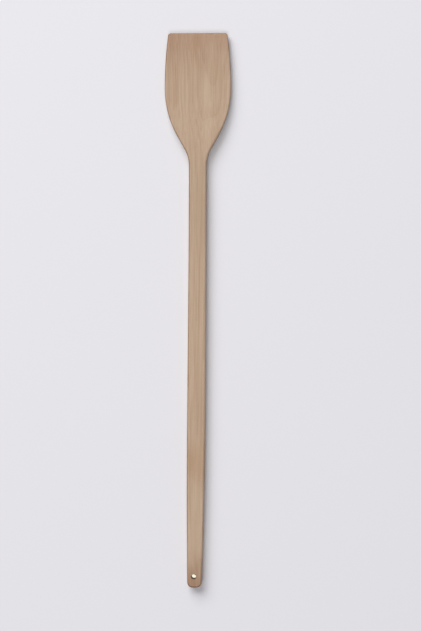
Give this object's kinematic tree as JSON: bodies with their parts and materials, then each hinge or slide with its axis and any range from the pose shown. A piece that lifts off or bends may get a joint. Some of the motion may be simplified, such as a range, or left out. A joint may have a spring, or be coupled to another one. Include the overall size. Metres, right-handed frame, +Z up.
{
  "type": "cooking paddle",
  "caption": "Long one-piece wooden paddle for stirring large pots: a broad thin blade with a straight tip, a narrow rounded handle and a hanging hole near the handle's end.",
  "frame": {"origin": "under the middle of the paddle's length and of its blade's width, on the surface that the handle's flat underside lies on", "axes": "+X across the blade, +Y along the length from the handle's end to the blade's tip, +Z up, square to the flat faces"},
  "size_m": [0.12, 1, 0.02],
  "materials": {
    "wood": "bare close-grained hardwood, planed and sanded by hand, matt"
  },
  "bodies": {
    "root": {"paddle": "wood"}
  },
  "joints": []
}
